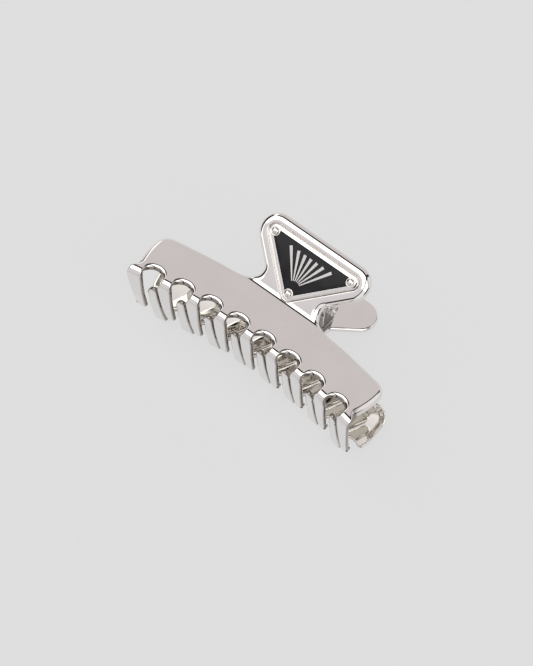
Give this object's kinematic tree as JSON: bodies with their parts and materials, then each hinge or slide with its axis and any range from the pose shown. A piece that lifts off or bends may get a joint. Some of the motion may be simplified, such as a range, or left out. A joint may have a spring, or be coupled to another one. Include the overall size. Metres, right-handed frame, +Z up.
{
  "type": "claw hair clip",
  "caption": "Sprung metal claw clip for hair: two bent plate jaws with interleaving curled teeth on one hinge, finger handles and a triangular enamel badge.",
  "frame": {"origin": "bottom centre of the clip's bounding box, on the plane it rests on", "axes": "+X along the hinge and the rows of teeth, +Y from the teeth to the handles, +Z up through the front jaw"},
  "size_m": [0.088, 0.0471, 0.0333],
  "materials": {
    "polished_metal": "mirror-polished warm palladium plating",
    "bracket_steel": "tumbled and plated steel",
    "spring_steel": "bright drawn wire",
    "black_enamel": "glossy black enamel"
  },
  "bodies": {
    "rear_half": {"rear_jaw": "polished_metal", "rear_hinge_bracket": "bracket_steel", "hinge_pin": "bracket_steel", "torsion_spring": "spring_steel"},
    "front_half": {"front_jaw": "polished_metal", "front_hinge_bracket": "bracket_steel", "badge_plate": "polished_metal", "badge_enamel": "black_enamel", "badge_rivet_left": "polished_metal", "badge_rivet_right": "polished_metal", "badge_rivet_lower": "polished_metal"}
  },
  "joints": [
    {"name": "jaw_hinge", "type": "hinge", "parent": "rear_half", "child": "front_half", "pos_m": [0, 0.00962, 0.01608], "axis": [-1, 0, 0], "range_deg": [0, 65], "stiffness_Nm_per_rad": 0.15, "springref_deg": -45.84, "deforming": ["torsion_spring"]}
  ]
}
